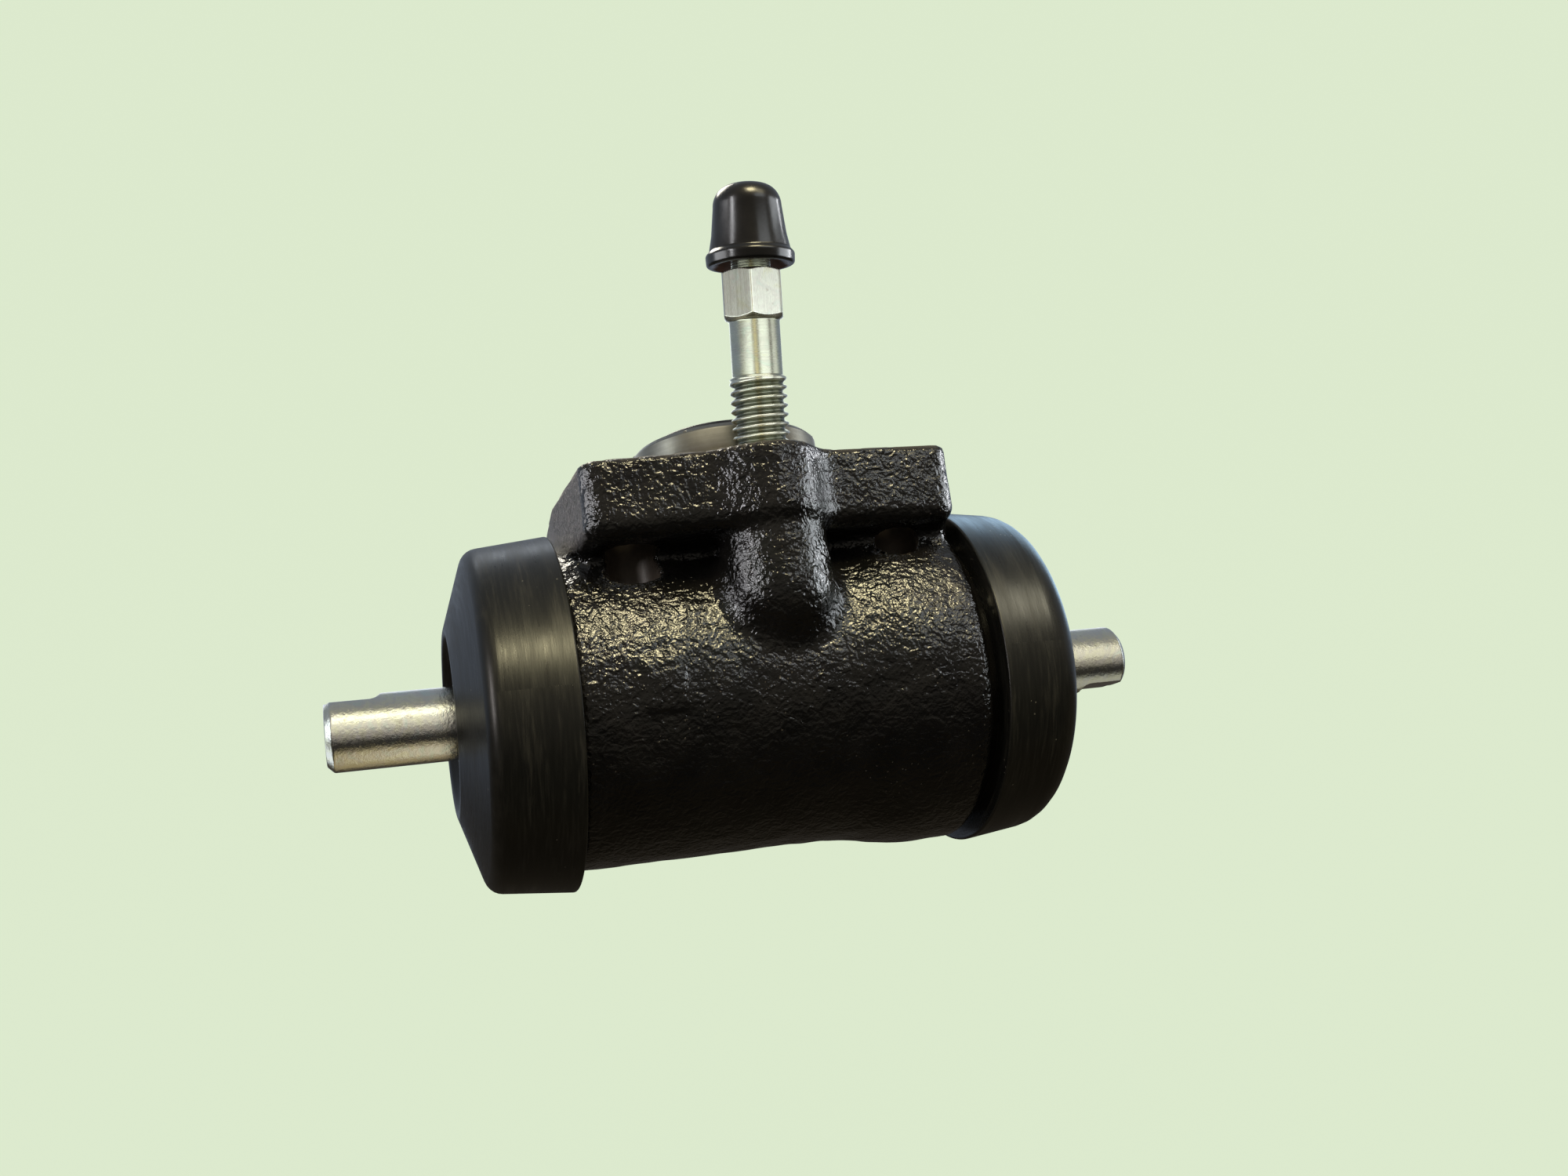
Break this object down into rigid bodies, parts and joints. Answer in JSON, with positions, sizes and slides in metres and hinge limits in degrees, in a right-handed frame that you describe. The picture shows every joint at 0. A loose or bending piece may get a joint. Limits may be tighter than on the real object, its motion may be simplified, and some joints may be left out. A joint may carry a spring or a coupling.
{
  "type": "wheel cylinder",
  "caption": "Flanged drum-brake wheel cylinder: black cast barrel, push rods in rubber dust boots, leaning bleed screw with rubber cap, pilot spigot on the mounting face.",
  "frame": {"origin": "centre of the pilot spigot on the mounting face of the flange", "axes": "+X along the bore towards the collared end, +Z out of the mounting face, -Y towards the bleed screw"},
  "size_m": [0.1192, 0.0582, 0.0913],
  "materials": {
    "painted_casting": "gloss black paint over a rough cast skin, bare machined spigot",
    "piston_alloy": "turned",
    "seal_rubber": "moulded, smooth",
    "spring_steel": "drawn wire and pressed sheet",
    "zinc_plate": "bright zinc plate with a faint warm sheen",
    "boot_rubber": "satin rubber with fine marks running round it",
    "cap_rubber": "glossy moulded rubber",
    "plug_plastic": "matte"
  },
  "bodies": {
    "body": {"housing": "painted_casting", "left_dust_boot": "boot_rubber", "right_dust_boot": "boot_rubber", "return_spring": "spring_steel"},
    "left_piston_body": {"left_piston": "piston_alloy", "left_cup_seal": "seal_rubber", "left_cup_expander": "spring_steel"},
    "right_piston_body": {"right_piston": "piston_alloy", "right_cup_seal": "seal_rubber", "right_cup_expander": "spring_steel"},
    "left_rod_body": {"left_push_rod": "zinc_plate"},
    "right_rod_body": {"right_push_rod": "zinc_plate"},
    "bleed_screw_body": {"bleed_screw": "zinc_plate"},
    "bleed_cap_body": {"bleed_cap": "cap_rubber"},
    "inlet_plug_body": {"inlet_plug": "plug_plastic"}
  },
  "joints": [
    {"name": "left_piston_slide", "type": "slide", "parent": "body", "child": "left_piston_body", "axis": [-1, 0, 0], "range_m": [-0.003, 0.004], "deforming": ["return_spring"]},
    {"name": "right_piston_slide", "type": "slide", "parent": "body", "child": "right_piston_body", "axis": [1, 0, 0], "range_m": [-0.003, 0.004], "deforming": ["return_spring"]},
    {"name": "left_rod_turn", "type": "hinge", "parent": "left_piston_body", "child": "left_rod_body", "pos_m": [-0.03, 0, -0.03], "axis": [-1, 0, 0], "continuous": true},
    {"name": "right_rod_turn", "type": "hinge", "parent": "right_piston_body", "child": "right_rod_body", "pos_m": [0.03, 0, -0.03], "axis": [1, 0, 0], "continuous": true},
    {"name": "bleed_screw_turn", "type": "hinge", "parent": "body", "child": "bleed_screw_body", "pos_m": [0, -0.0198, 0], "axis": [0, -0.2588, 0.9659], "range_deg": [0, 540]},
    {"name": "bleed_cap_pull", "type": "slide", "parent": "bleed_screw_body", "child": "bleed_cap_body", "axis": [0, -0.2588, 0.9659], "range_m": [0, 0.012]},
    {"name": "inlet_plug_pull", "type": "slide", "parent": "body", "child": "inlet_plug_body", "axis": [0, 0, 1], "range_m": [0, 0.012]}
  ]
}
